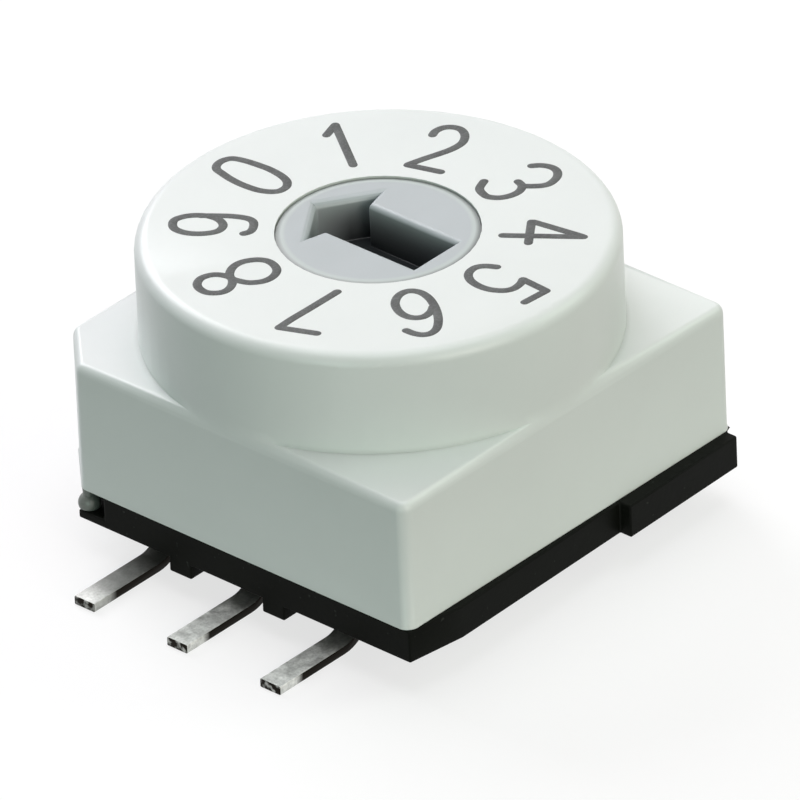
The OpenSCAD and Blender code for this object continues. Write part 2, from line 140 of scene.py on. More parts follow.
# matt white card: even, with a faint tooth; for the eye and for mirrors it also glows a little,
# so that it comes out white while the part's shadow stays on it
card, tree = blank("matt_white_card")
glow = add(tree, "ShaderNodeMath", {0: seen_directly(tree), 1: 0.72}, operation="MULTIPLY")
tooth = add(tree, "ShaderNodeTexNoise", {
    "Vector": add(tree, "ShaderNodeTexCoord").outputs["Object"], "Scale": 1 / (0.5 * mm),
})
relief = add(tree, "ShaderNodeBump", {"Height": tooth, "Distance": 0.004 * mm})
paper = add(tree, "ShaderNodeBsdfDiffuse", {"Color": linear("#949494"), "Normal": relief})
light = add(tree, "ShaderNodeEmission", {"Strength": glow})
both = add(tree, "ShaderNodeAddShader", {0: paper, 1: light})
add(tree, "ShaderNodeOutputMaterial", {"Surface": both})
half = 1500 * mm
sheet = bpy.data.meshes.new("table")
corners = [(-half, -half, 0), (half, -half, 0), (half, half, 0), (-half, half, 0)]
sheet.from_pydata(corners, [], [(0, 1, 2, 3)])
sheet.materials.append(card)
table = bpy.data.objects.new("table", sheet)
scene.collection.objects.link(table)

# the backdrop is white to the eye and adds next to nothing to the lamps' light
world = bpy.data.worlds.new("white_backdrop")
world.use_nodes = True
tree = world.node_tree
tree.nodes.clear()
strength = add(tree, "ShaderNodeMapRange", {
    "Value": seen_directly(tree), "To Min": 0.04, "To Max": 1.0,
})
sky = add(tree, "ShaderNodeBackground", {"Color": (1, 1, 1, 1), "Strength": strength})
add(tree, "ShaderNodeOutputWorld", {"Surface": sky})
scene.world = world

# each soft box: its place and its side in millimetres, its power in watts, and its tint
middle_of_part = Vector((0, 0, 3 * mm))
for name, place, side, power, tint in (
    ("soft_box_behind", (75, 70, 110), 120, 0.030, "#FFDDE8"),
    ("soft_box_back", (30, 120, 95), 90, 0.155, "#FBFAFF"),
    ("soft_box_above", (0, 0, 150), 120, 0.092, "#FAFBFF"),
    ("soft_box_right", (-25, -150, 60), 90, 0.087, "#FFF6EC"),
    ("soft_box_left", (-150, -60, 30), 80, 0.057, "#DEFFF0"),
    ("soft_box_front_right", (80, -68, 75), 50, 0.034, "#EDFFEA"),
):
    lamp = bpy.data.lights.new(name, "AREA")
    lamp.size = side * mm
    lamp.energy = power
    lamp.color = linear(tint)[:3]
    box = bpy.data.objects.new(name, lamp)
    box.location = Vector(place) * mm
    box.rotation_euler = (box.location - middle_of_part).to_track_quat("Z", "Y").to_euler()
    scene.collection.objects.link(box)


# The housing: one moulding with the square block, the round dial on it and the staked peg that
# holds the base. Light grey PBT from a finely spark-eroded mould, its shut-off edge at the bottom.
def settle(piece):
    """Turns the piece and its modifiers into a plain mesh."""
    bpy.context.view_layer.update()
    graph = bpy.context.evaluated_depsgraph_get()
    done = bpy.data.meshes.new_from_object(piece.evaluated_get(graph))
    done.name = piece.name
    piece.modifiers.clear()
    piece.data = done


def smooth(piece, even_faces=False):
    """Settles the piece with smooth rounds and crisp edges, and with even flat faces if asked."""
    crisp_from = math.radians(32)
    settle(piece)
    piece.data.shade_smooth()
    piece.data.set_sharp_from_angle(angle=crisp_from)
    if even_faces:
        piece.modifiers.new("weighting", "WEIGHTED_NORMAL").keep_sharp = True
        settle(piece)


def rounded_copy(node, name, width_at=None, segments=3):
    """A piece from a CAD node's merged mesh, its sharp edges as round in mm as width_at says."""
    same_point, same_plane, sharp_from = 0.0001 * mm, math.radians(0.1), math.radians(35)
    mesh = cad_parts[node].data.copy()
    mesh.name = name
    mesh.materials.clear()
    form = bmesh.new()
    form.from_mesh(mesh)
    bmesh.ops.remove_doubles(form, verts=form.verts, dist=same_point)
    bmesh.ops.dissolve_limit(form, angle_limit=same_plane, verts=form.verts, edges=form.edges)
    width = form.edges.layers.float.new("bevel_weight_edge")
    for edge in form.edges:
        if width_at and edge.calc_face_angle() > sharp_from:
            edge[width] = width_at((edge.verts[0].co + edge.verts[1].co) / 2 / mm)
    form.to_mesh(mesh)
    form.free()
    piece = bpy.data.objects.new(name, mesh)
    scene.collection.objects.link(piece)
    if width_at:
        # an edge's weight is its width in millimetres, so the full width is one
        bevel = piece.modifiers.new("rounding", "BEVEL")
        bevel.limit_method = "WEIGHT"
        bevel.width = mm
        bevel.segments = segments
        bevel.use_clamp_overlap = False
        bevel.loop_slide = False
    smooth(piece, even_faces=width_at is not None)
    return piece


# moulded PBT: cool near-white with a faint green cast, satin, slightly cloudy where the melt met,
# with painted shade in the crease at the dial's foot; the peg's end, pressed by the hot stake, is
# painted darker grey as shade under the housing's overhang
pbt, tree = blank("moulded_pbt_light_grey")
spot = add(tree, "ShaderNodeTexCoord").outputs["Object"]
cloud = add(tree, "ShaderNodeTexNoise", {
    "Vector": spot, "Scale": 1 / (3.0 * mm), "Detail": 4.0, "Roughness": 0.6,
})
grain = add(tree, "ShaderNodeTexNoise", {"Vector": spot, "Scale": 1 / (0.2 * mm), "Detail": 1.0})
colour = add(tree, "ShaderNodeMix", {
    "Factor": cloud, "A": linear("#DBE1DE"), "B": linear("#E3E9E6"),
}, data_type="RGBA")
# painted shade: darker wherever the AO node finds the crease at the dial's foot
crease = add(tree, "ShaderNodeAmbientOcclusion", {"Distance": 0.25 * mm}, samples=8)
crease_shade = add(tree, "ShaderNodeMapRange", {
    "Value": crease.outputs["AO"], "From Min": 0.3, "From Max": 0.75, "To Min": 0.42, "To Max": 0.0,
})
colour = add(tree, "ShaderNodeMix", {
    "Factor": crease_shade, "A": colour, "B": linear("#858A84"),
}, data_type="RGBA")
# painted shade: the peg's end under the housing's overhang is coloured darker grey
peg_shade = add(tree, "ShaderNodeMapRange", {
    "Value": add(tree, "ShaderNodeSeparateXYZ", {0: spot}).outputs["Z"],
    "From Min": 1.5 * mm, "From Max": 1.59 * mm, "To Min": 1.0, "To Max": 0.0,
})
colour = add(tree, "ShaderNodeMix", {
    "Factor": peg_shade, "A": colour, "B": linear("#6F746F"),
}, data_type="RGBA")
polish = add(tree, "ShaderNodeMapRange", {"Value": grain, "To Min": 0.32, "To Max": 0.4})
relief = add(tree, "ShaderNodeBump", {"Height": grain, "Distance": 0.001 * mm})
relief = add(tree, "ShaderNodeBump", {"Height": cloud, "Distance": 0.006 * mm, "Normal": relief})
finish = add(tree, "ShaderNodeBsdfPrincipled", {
    "Base Color": colour, "Roughness": polish, "IOR": 1.54, "Normal": relief,
})
add(tree, "ShaderNodeOutputMaterial", {"Surface": finish})

# three touches to the solid: the thin flash that the mould's joint leaves round the bottom, the
# rolled mouth round the rotor, and a shoulder that lies lower and falls off towards the sides
housing_h, drum_h = 5.25, 2.15
flash, flash_h = 0.02, 0.055
mouth, mouth_roll, mouth_rim, mouth_depth = 2.15, 0.034, 0.05, 0.03
shoulder_drop, shoulder_slope, shoulder_round, shoulder_from = 0.14, 0.4, 0.17, 4.5
outer_wall, cut_corner = 4.7, 8.8
tolerance = 0.001
dial = cad_box[1][2] / mm
bottom, shoulder = dial - housing_h, dial - drum_h
housing = rounded_copy("housing", "housing_moulding")
form = bmesh.new()
form.from_mesh(housing.data)
# two cuts give the flash its points, and one above the shoulder lets the drum's wall shade evenly
for cut in (bottom + flash_h, bottom + 0.5 * flash_h, shoulder + 0.1):
    bmesh.ops.bisect_plane(
        form, geom=form.verts[:] + form.edges[:] + form.faces[:], dist=1e-9,
        plane_co=(0, 0, cut * mm), plane_no=(0, 0, 1),
    )
moves = {}
for vert in form.verts:
    x, y, z = place = vert.co / mm
    from_axis = place.xy.length
    if shoulder - shoulder_round < z < shoulder + tolerance and from_axis > shoulder_from:
        moves[vert] = Vector((0, 0, -shoulder_drop - shoulder_slope * (shoulder - z))) * mm
    if -tolerance < z - bottom < 0.6 * flash_h:
        upright_faces = [face.normal for face in vert.link_faces if abs(face.normal.z) < 0.2]
        walls = [normal for normal in upright_faces if normal.dot(vert.co) > 0]
        if walls and (max(abs(x), abs(y)) > outer_wall or y - x > cut_corner):
            out = sum(walls, Vector())
            moves[vert] = Vector((out.x, out.y, 0)).normalized() * flash * mm
    elif z > dial - mouth_depth and from_axis < mouth + mouth_rim:
        moves[vert] = -Vector((x, y, 0)).normalized() * (from_axis - mouth + mouth_roll) * mm
for vert, move in moves.items():
    vert.co += move
form.to_mesh(housing.data)
form.free()
housing.data.materials.append(pbt)
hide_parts("housing")
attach(housing, "body")


# The numerals 0 to 9: pad-printed in dark grey ink round the dial, tops outwards. A single round
# pen stroke draws each one; the ink stands a hundredth of a millimetre proud and its edge is soft.
ring_radius = 3.36
pen_width = 0.188
# each stroke's points, across and along the numeral, in mm from its middle; a loop closes itself
digits = {
    0: [
        ("loop", (-.31, .62), (-.25, .83), (-.1, .94), (.1, .95), (.27, .84), (.36, .55), (.4, .2),
         (.41, -.05), (.37, -.38), (.28, -.62), (.14, -.75), (0, -.78), (-.15, -.74), (-.28, -.58),
         (-.36, -.35), (-.39, 0), (-.37, .32)),
    ],
    1: [
        ("line", (.05, .92), (.06, -.74)),
        ("line", (-.21, .58), (-.12, .7), (.05, .93)),
    ],
    2: [
        ("line", (-.44, .45), (-.44, .62), (-.34, .8), (-.16, .88), (.02, .85), (.17, .7),
         (.25, .48), (.24, .28), (.14, .04), (-.02, -.2), (-.22, -.47), (-.44, -.8)),
        ("line", (-.44, -.82), (.3, -.84)),
    ],
    3: [
        ("line", (-.4, .52), (-.3, .7), (-.12, .83), (.08, .84), (.27, .72), (.4, .5), (.4, .32),
         (.3, .12), (.19, -.03)),
        ("line", (-.02, -.03), (.17, -.05), (.32, -.2), (.37, -.42), (.32, -.66), (.16, -.84),
         (-.03, -.87), (-.23, -.82), (-.42, -.6)),
    ],
    4: [
        ("line", (.15, .85), (.15, -.8)),
        ("line", (.13, .82), (-.06, .45), (-.24, .1), (-.4, -.22)),
        ("line", (-.4, -.26), (.42, -.25)),
    ],
    5: [
        ("line", (.3, .87), (-.28, .92)),
        ("line", (-.3, .92), (-.34, .27)),
        ("line", (-.34, .26), (-.17, .33), (.05, .34), (.22, .24), (.35, .03), (.4, -.22),
         (.36, -.5), (.24, -.7), (.07, -.8), (-.12, -.8), (-.27, -.68), (-.38, -.48)),
    ],
    6: [
        ("line", (.3, .65), (.18, .8), (.02, .9), (-.15, .89), (-.3, .75), (-.4, .48), (-.45, .15),
         (-.45, -.2), (-.4, -.5), (-.28, -.73), (-.1, -.83), (.08, -.78), (.22, -.62), (.3, -.38),
         (.28, -.1), (.18, .11), (.02, .22), (-.16, .22), (-.33, .08), (-.42, -.1)),
    ],
    7: [
        ("line", (-.46, .78), (.35, .84)),
        ("line", (.35, .83), (.24, .45), (.1, .05), (-.06, -.42), (-.2, -.84)),
    ],
    8: [
        ("loop", (.02, .82), (.22, .76), (.36, .58), (.35, .34), (.22, .17), (.02, .08),
         (-.19, .18), (-.33, .36), (-.34, .56), (-.2, .76)),
        ("loop", (.02, .08), (.24, -.02), (.4, -.22), (.44, -.45), (.36, -.7), (.2, -.86),
         (-.02, -.9), (-.24, -.84), (-.4, -.66), (-.45, -.42), (-.36, -.17), (-.2, -.02)),
    ],
    9: [
        ("loop", (.12, .85), (.28, .78), (.4, .55), (.42, .25), (.34, .02), (.2, -.13), (.02, -.19),
         (-.16, -.12), (-.26, .06), (-.3, .33), (-.25, .6), (-.1, .8)),
        ("line", (.41, .3), (.42, 0), (.41, -.35), (.34, -.65), (.2, -.79), (-.02, -.81),
         (-.18, -.76), (-.26, -.64)),
    ],
}
points, edges = [], []
for digit, strokes in digits.items():
    angle = math.radians(90 - 360 / len(digits) * digit)
    outwards = Vector((math.cos(angle), math.sin(angle)))
    sideways = Vector((math.sin(angle), -math.cos(angle)))
    for kind, *stroke in strokes:
        start = len(points)
        for across, along in stroke:
            on_dial = outwards * (ring_radius + along) + sideways * across
            points.append((on_dial.x * mm, on_dial.y * mm, 0))
        edges += [(i, i + 1) for i in range(start, len(points) - 1)]
        if kind == "loop":
            edges.append((len(points) - 1, start))
drawn = bpy.data.meshes.new("numerals")
drawn.from_pydata(points, edges, [])
numerals = bpy.data.objects.new("numerals", drawn)
scene.collection.objects.link(numerals)

# pad-printing ink: flat dark grey, thinner and paler in patches where the pad lifted
ink, tree = blank("pad_printing_ink_dark_grey")
spot = add(tree, "ShaderNodeTexCoord").outputs["Object"]
patch = add(tree, "ShaderNodeTexNoise", {"Vector": spot, "Scale": 1 / (0.35 * mm), "Detail": 3.0})
fleck = add(tree, "ShaderNodeTexNoise", {"Vector": spot, "Scale": 1 / (0.04 * mm), "Detail": 2.0})
thin = add(tree, "ShaderNodeMapRange", {"Value": patch, "From Min": 0.35, "From Max": 0.7})
colour = add(tree, "ShaderNodeMix", {
    "Factor": thin, "A": linear("#303332"), "B": linear("#474B49"),
}, data_type="RGBA")
speck = add(tree, "ShaderNodeMapRange", {
    "Value": fleck, "From Min": 0.45, "From Max": 0.8, "To Max": 0.5,
})
colour = add(tree, "ShaderNodeMix", {
    "Factor": speck, "A": colour, "B": linear("#727674"),
}, data_type="RGBA")
finish = add(tree, "ShaderNodeBsdfPrincipled", {
    "Base Color": colour, "IOR": 1.5,
    "Roughness": add(tree, "ShaderNodeMapRange", {"Value": fleck, "To Min": 0.5, "To Max": 0.75}),
    "Normal": add(tree, "ShaderNodeBump", {"Height": fleck, "Distance": 0.001 * mm}),
})
add(tree, "ShaderNodeOutputMaterial", {"Surface": finish})

# the pen: a round nib swept along each stroke, a round blot at each end, all pressed nearly flat
tree = bpy.data.node_groups.new("pen_strokes", "GeometryNodeTree")
tree.interface.new_socket("Geometry", in_out="INPUT", socket_type="NodeSocketGeometry")
for label, value in (
    ("Pen width", pen_width * mm), ("Flatness", 0.12), ("Height of the dial", dial * mm),
    ("Wobble", 0.12),
):
    socket = tree.interface.new_socket(label, in_out="INPUT", socket_type="NodeSocketFloat")
    socket.default_value = value
tree.interface.new_socket("Geometry", in_out="OUTPUT", socket_type="NodeSocketGeometry")
given = add(tree, "NodeGroupInput").outputs
nib = add(tree, "ShaderNodeMath", {0: given["Pen width"], 1: 2.0}, operation="DIVIDE")
path = add(tree, "GeometryNodeMeshToCurve", {"Mesh": given["Geometry"]})
path = add(tree, "GeometryNodeCurveSplineType", {"Curve": path}, spline_type="CATMULL_ROM")
path = add(tree, "GeometryNodeResampleCurve", {"Curve": path, "Length": 0.03 * mm}, mode="LENGTH")
shake = add(tree, "ShaderNodeTexNoise", {
    "Vector": add(tree, "GeometryNodeInputPosition"), "Scale": 1 / (0.3 * mm),
})
swell = add(tree, "ShaderNodeMapRange", {
    "Value": shake, "From Min": 0.3, "From Max": 0.7,
    "To Min": add(tree, "ShaderNodeMath", {0: 1.0, 1: given["Wobble"]}, operation="SUBTRACT"),
    "To Max": add(tree, "ShaderNodeMath", {0: 1.0, 1: given["Wobble"]}),
})
path = add(tree, "GeometryNodeSetCurveRadius", {"Curve": path, "Radius": swell})
outline = add(tree, "GeometryNodeCurvePrimitiveCircle", {"Resolution": 12, "Radius": nib})
swept = add(tree, "GeometryNodeCurveToMesh", {
    "Curve": path, "Profile Curve": outline, "Fill Caps": True,
})
blot = add(tree, "GeometryNodeMeshUVSphere", {"Segments": 12, "Rings": 8, "Radius": nib})
ends = add(tree, "GeometryNodeInstanceOnPoints", {
    "Points": path, "Selection": add(tree, "GeometryNodeCurveEndpointSelection"), "Instance": blot,
})
joined = add(tree, "GeometryNodeJoinGeometry")
tree.links.new(swept.outputs[0], joined.inputs[0])
tree.links.new(ends.outputs[0], joined.inputs[0])
pressed = add(tree, "GeometryNodeTransform", {
    "Geometry": joined,
    "Translation": add(tree, "ShaderNodeCombineXYZ", {"Z": given["Height of the dial"]}),
    "Scale": add(tree, "ShaderNodeCombineXYZ", {"X": 1.0, "Y": 1.0, "Z": given["Flatness"]}),
})
solid = add(tree, "GeometryNodeRealizeInstances", {"Geometry": pressed})
inked = add(tree, "GeometryNodeSetMaterial", {"Geometry": solid, "Material": ink})
add(tree, "NodeGroupOutput", {0: inked})
numerals.modifiers.new("pen", "NODES").node_group = tree
smooth(numerals)
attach(numerals, "body")


# The rotor: the blue-grey actuator turned with a screwdriver, moulded with its flange and the
# arrow-shaped slot in one. A more satin PBT than the housing's, with painted shade deep in the
# slot.
face_from, slot_from = 6.7, 5.75
rotor_pbt, tree = blank("moulded_pbt_blue_grey")
spot = add(tree, "ShaderNodeTexCoord").outputs["Object"]
where = add(tree, "ShaderNodeSeparateXYZ", {0: spot}).outputs
flat = add(tree, "ShaderNodeCombineXYZ", {"X": where["X"], "Y": where["Y"]})
from_axis = add(tree, "ShaderNodeVectorMath", {0: flat}, operation="LENGTH").outputs["Value"]
cloud = add(tree, "ShaderNodeTexNoise", {"Vector": spot, "Scale": 1 / (1.2 * mm), "Detail": 3.0})
grain = add(tree, "ShaderNodeTexNoise", {"Vector": spot, "Scale": 1 / (0.07 * mm), "Detail": 2.0})
colour = add(tree, "ShaderNodeMix", {
    "Factor": cloud, "A": linear("#A9B1B2"), "B": linear("#B3BBBD"),
}, data_type="RGBA")

# the face is rubbed paler next to its sloped edge
on_face = add(tree, "ShaderNodeMath", {0: where["Z"], 1: face_from * mm}, operation="GREATER_THAN")
worn = add(tree, "ShaderNodeMapRange", {
    "Value": from_axis, "From Min": 1.88 * mm, "From Max": 1.94 * mm, "To Max": 0.7,
})
worn = add(tree, "ShaderNodeMath", {0: worn, 1: on_face}, operation="MULTIPLY")
colour = add(tree, "ShaderNodeMix", {
    "Factor": worn, "A": colour, "B": linear("#BAC4C0"),
}, data_type="RGBA")

# painted shade in the slot: darker deeper down, lighter towards the arrow's tip where light reaches
# in, and darker in every tight corner
slot_shade = add(tree, "ShaderNodeMath", {0: from_axis, 1: 1.8 * mm}, operation="LESS_THAN")
above_floor = add(tree, "ShaderNodeMath", {
    0: where["Z"], 1: slot_from * mm,
}, operation="GREATER_THAN")
down = add(tree, "ShaderNodeMapRange", {
    "Value": where["Z"], "From Min": 5.9 * mm, "From Max": 6.72 * mm, "To Min": 1.0, "To Max": 0.0,
})
down = add(tree, "ShaderNodeMath", {0: down, 1: 0.5}, operation="POWER")
to_tip = add(tree, "ShaderNodeMapRange", {
    "Value": where["Y"], "From Min": 1.3 * mm, "From Max": 1.65 * mm, "To Min": 1.0, "To Max": 0.4,
})
for share in (above_floor, down, to_tip):
    slot_shade = add(tree, "ShaderNodeMath", {0: slot_shade, 1: share}, operation="MULTIPLY")
corner = add(tree, "ShaderNodeAmbientOcclusion", {"Distance": 0.9 * mm}, samples=8)
corner = add(tree, "ShaderNodeMapRange", {
    "Value": corner.outputs["AO"], "From Min": 0.25, "From Max": 0.85, "To Min": 0.6, "To Max": 0.0,
})
slot_shade = add(tree, "ShaderNodeMath", {0: corner, 1: slot_shade}, operation="MAXIMUM")
colour = add(tree, "ShaderNodeMix", {
    "Factor": slot_shade, "A": colour, "B": linear("#1C2123"),
}, data_type="RGBA")

# painted shade at the joint with the housing, on the face's outermost edge
joint_shade = add(tree, "ShaderNodeMapRange", {
    "Value": from_axis, "From Min": 1.98 * mm, "From Max": 2.06 * mm, "To Max": 0.62,
})
joint_shade = add(tree, "ShaderNodeMath", {0: joint_shade, 1: on_face}, operation="MULTIPLY")
colour = add(tree, "ShaderNodeMix", {
    "Factor": joint_shade, "A": colour, "B": linear("#4A4F4B"),
}, data_type="RGBA")
finish = add(tree, "ShaderNodeBsdfPrincipled", {
    "Base Color": colour, "IOR": 1.54,
    "Roughness": add(tree, "ShaderNodeMapRange", {"Value": grain, "To Min": 0.34, "To Max": 0.5}),
    "Normal": add(tree, "ShaderNodeBump", {"Height": grain, "Distance": 0.0015 * mm}),
})
add(tree, "ShaderNodeOutputMaterial", {"Surface": finish})


def rotor_edge(middle):
    """The slot's mouth is well rounded, most at the arrow's head; the sloped edge isn't at all."""
    in_slot, at_head, above_floor = middle.xy.length <= 1.75, middle.y > 1.2, middle.z > 6
    if middle.z > face_from:
        return (0.17 if at_head else 0.12) if in_slot else 0
    return 0.05 if in_slot and above_floor else 0.02


rotor = rounded_copy("rotor", "rotor_moulding", rotor_edge, segments=5)
rotor.data.materials.append(rotor_pbt)
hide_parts("rotor")
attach(rotor, "rotor")


# The seal: a nitrile rubber ring round the rotor's neck, pressed in the groove when the rotor is
# pushed up into the housing. Dull black with a fine bloom.
nitrile, tree = blank("nitrile_rubber_black")
spot = add(tree, "ShaderNodeTexCoord").outputs["Object"]
bloom = add(tree, "ShaderNodeTexNoise", {"Vector": spot, "Scale": 1 / (0.25 * mm), "Detail": 4.0})
colour = add(tree, "ShaderNodeMix", {
    "Factor": bloom, "A": linear("#1B1B1C"), "B": linear("#2E2E2F"),
}, data_type="RGBA")
finish = add(tree, "ShaderNodeBsdfPrincipled", {
    "Base Color": colour,
    "Roughness": add(tree, "ShaderNodeMapRange", {"Value": bloom, "To Min": 0.55, "To Max": 0.8}),
    "Normal": add(tree, "ShaderNodeBump", {"Height": bloom, "Distance": 0.003 * mm}),
})
add(tree, "ShaderNodeOutputMaterial", {"Surface": finish})
seal = rounded_copy("rotor_seal", "seal_ring")
seal.data.materials.append(nitrile)
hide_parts("rotor_seal")
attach(seal, "rotor")


# The base: the black plate that closes the switch from below, moulded round the terminals, with
# the boss and pin that carry the rotor. Black PBT, nearly lampblack to the eye, with a little dust.
black_pbt, tree = blank("moulded_pbt_black")
spot = add(tree, "ShaderNodeTexCoord").outputs["Object"]
cloud = add(tree, "ShaderNodeTexNoise", {"Vector": spot, "Scale": 1 / (0.9 * mm), "Detail": 4.0})
grain = add(tree, "ShaderNodeTexNoise", {"Vector": spot, "Scale": 1 / (0.12 * mm), "Detail": 3.0})
dust = add(tree, "ShaderNodeTexNoise", {"Vector": spot, "Scale": 1 / (0.14 * mm), "Detail": 1.0})
dust = add(tree, "ShaderNodeMapRange", {
    "Value": dust, "From Min": 0.72, "From Max": 0.8, "To Max": 0.4,
})
colour = add(tree, "ShaderNodeMix", {
    "Factor": cloud, "A": linear("#090A08"), "B": linear("#11130F"),
}, data_type="RGBA")
colour = add(tree, "ShaderNodeMix", {
    "Factor": dust, "A": colour, "B": linear("#474B46"),
}, data_type="RGBA")
finish = add(tree, "ShaderNodeBsdfPrincipled", {
    "Base Color": colour, "IOR": 1.54, "Specular IOR Level": 0.04,
    "Roughness": add(tree, "ShaderNodeMapRange", {"Value": cloud, "To Min": 0.34, "To Max": 0.52}),
    "Normal": add(tree, "ShaderNodeBump", {"Height": grain, "Distance": 0.003 * mm}),
})
add(tree, "ShaderNodeOutputMaterial", {"Surface": finish})


def base_edge(middle):
    """The two corners by the right-hand terminals are as round as the housing's above them."""
    at_corner = middle.x > 4.9 and abs(middle.y) > 4.9
    return 0.25 if at_corner else 0.04


base = rounded_copy("base", "base_moulding", base_edge)
base.data.materials.append(black_pbt)
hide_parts("base")
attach(base, "body")


# The six terminals: stamped from phosphor bronze strip that was tinned before stamping, bent into
# legs and moulded into the base. Their cut sides are bare bronze, painted near-black as shade, down
# to the foot, where solder has crept over them.
bronze, tree = blank("tinned_phosphor_bronze_strip")
spot = add(tree, "ShaderNodeTexCoord").outputs["Object"]
where = add(tree, "ShaderNodeSeparateXYZ", {0: spot}).outputs
reach = add(tree, "ShaderNodeMath", {0: where["X"]}, operation="ABSOLUTE")

# the tin: blotched and grainy, and rubbed lengthwise
blotch = add(tree, "ShaderNodeTexNoise", {
    "Vector": spot, "Scale": 1 / (0.22 * mm), "Detail": 4.0, "Roughness": 0.6,
})
grain = add(tree, "ShaderNodeTexNoise", {
    "Vector": spot, "Scale": 1 / (0.07 * mm), "Detail": 3.0, "Roughness": 0.7,
})
rub = add(tree, "ShaderNodeMapping", {"Vector": spot, "Scale": (0.12, 1.0, 1.0)})
rub = add(tree, "ShaderNodeTexNoise", {"Vector": rub, "Scale": 1 / (0.05 * mm), "Detail": 3.0})
tin = add(tree, "ShaderNodeMath", {0: blotch, 1: grain})
tin = add(tree, "ShaderNodeMapRange", {"Value": tin, "From Min": 0.7, "From Max": 1.3})
tin = add(tree, "ShaderNodeMix", {
    "Factor": tin, "A": linear("#B4B6B2"), "B": linear("#E8EAE6"),
}, data_type="RGBA")

# at the far end of each row it is painted darker as shade, less so towards the foot
far_end_shade = add(tree, "ShaderNodeMapRange", {
    "Value": where["Y"], "From Min": 1.7 * mm, "From Max": 2.3 * mm, "To Max": 0.75,
})
to_foot = add(tree, "ShaderNodeMapRange", {
    "Value": reach, "From Min": 5.9 * mm, "From Max": 6.4 * mm, "To Min": 1.0, "To Max": 0.35,
})
far_end_shade = add(tree, "ShaderNodeMath", {0: far_end_shade, 1: to_foot}, operation="MULTIPLY")
tin = add(tree, "ShaderNodeMix", {
    "Factor": far_end_shade, "A": tin, "B": linear("#686A66"),
}, data_type="RGBA")

# and next to the base it is painted dark: painted shade under the base's edge
base_shade = add(tree, "ShaderNodeMapRange", {
    "Value": reach, "From Min": 4.3 * mm, "From Max": 4.85 * mm, "To Min": 0.85, "To Max": 0.0,
})
tin = add(tree, "ShaderNodeMix", {
    "Factor": base_shade, "A": tin, "B": linear("#3C3D39"),
}, data_type="RGBA")

# the cut sides face along the row: bare bronze, painted near-black as shade; the cut end at the
# foot's tip shows through patches of solder
normal = add(tree, "ShaderNodeNewGeometry").outputs["Normal"]
cut = add(tree, "ShaderNodeMath", {
    0: add(tree, "ShaderNodeSeparateXYZ", {0: normal}).outputs["Y"],
}, operation="ABSOLUTE")
cut = add(tree, "ShaderNodeMapRange", {"Value": cut, "From Min": 0.5, "From Max": 0.8})
above_solder = add(tree, "ShaderNodeMapRange", {
    "Value": reach, "From Min": 5.85 * mm, "From Max": 6.05 * mm, "To Min": 1.0, "To Max": 0.1,
})
shaded_bare_side = add(tree, "ShaderNodeMath", {0: above_solder, 1: cut}, operation="MULTIPLY")
tip = add(tree, "ShaderNodeMath", {0: reach, 1: 6.53 * mm}, operation="GREATER_THAN")
solder = add(tree, "ShaderNodeTexNoise", {"Vector": spot, "Scale": 1 / (0.16 * mm), "Detail": 2.0})
gaps = add(tree, "ShaderNodeMapRange", {
    "Value": solder, "From Min": 0.5, "From Max": 0.66, "To Min": 1.0, "To Max": 0.45,
})
bare_tip = add(tree, "ShaderNodeMath", {0: gaps, 1: tip}, operation="MULTIPLY")
bare_and_shaded = add(tree, "ShaderNodeMath", {0: bare_tip, 1: shaded_bare_side}, operation="MAXIMUM")
metal = add(tree, "ShaderNodeMix", {
    "Factor": bare_and_shaded, "A": tin, "B": linear("#1F1C18"),
}, data_type="RGBA")
dull = add(tree, "ShaderNodeMapRange", {
    "Value": blotch, "From Min": 0.3, "From Max": 0.7, "To Min": 0.5, "To Max": 0.64,
})
finish = add(tree, "ShaderNodeBsdfPrincipled", {
    "Base Color": metal, "Metallic": 1.0,
    "Roughness": add(tree, "ShaderNodeMix", {"Factor": bare_and_shaded, "A": dull, "B": 0.6}),
    "Normal": add(tree, "ShaderNodeBump", {"Height": rub, "Distance": 0.002 * mm}),
})
add(tree, "ShaderNodeOutputMaterial", {"Surface": finish})
for node in (
    "terminal_common_left", "terminal_common_right",
    "terminal_bit_1", "terminal_bit_2", "terminal_bit_4", "terminal_bit_8",
):
    terminal = rounded_copy(node, node + "_strip", lambda middle: 0.025, segments=2)
    terminal.data.materials.append(bronze)
    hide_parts(node)
    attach(terminal, "body")


# The code disc: brass punched with the windows of its four code tracks, gold-plated and held on
# the rotor's flange by four small moulded posts. A hazy yellow shine, with the rings that the
# contact fingers wipe into it.
gold, tree = blank("gold_plated_brass")
spot = add(tree, "ShaderNodeTexCoord").outputs["Object"]
# the real rings are too fine to show, so these are 0.75 mm apart: a scale of 1 would put them
# 2 pi / 20 of a metre apart
wipe = add(tree, "ShaderNodeTexWave", {
    "Vector": spot, "Scale": 1 / (2.4 * mm), "Distortion": 0.4, "Detail": 2.0,
}, wave_type="RINGS", rings_direction="Z")
haze = add(tree, "ShaderNodeTexNoise", {"Vector": spot, "Scale": 1 / (0.6 * mm), "Detail": 4.0})
colour = add(tree, "ShaderNodeMix", {
    "Factor": haze, "A": linear("#C9A24B"), "B": linear("#E6C36B"),
}, data_type="RGBA")
finish = add(tree, "ShaderNodeBsdfPrincipled", {
    "Base Color": colour, "Metallic": 1.0,
    "Roughness": add(tree, "ShaderNodeMapRange", {"Value": haze, "To Min": 0.18, "To Max": 0.4}),
    "Normal": add(tree, "ShaderNodeBump", {
        "Height": wipe.outputs["Fac"], "Distance": 0.001 * mm,
    }),
})
add(tree, "ShaderNodeOutputMaterial", {"Surface": finish})
disc = rounded_copy("code_disc", "code_disc_stamping", lambda middle: 0.015, segments=2)
disc.data.materials.append(gold)
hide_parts("code_disc")
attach(disc, "rotor")


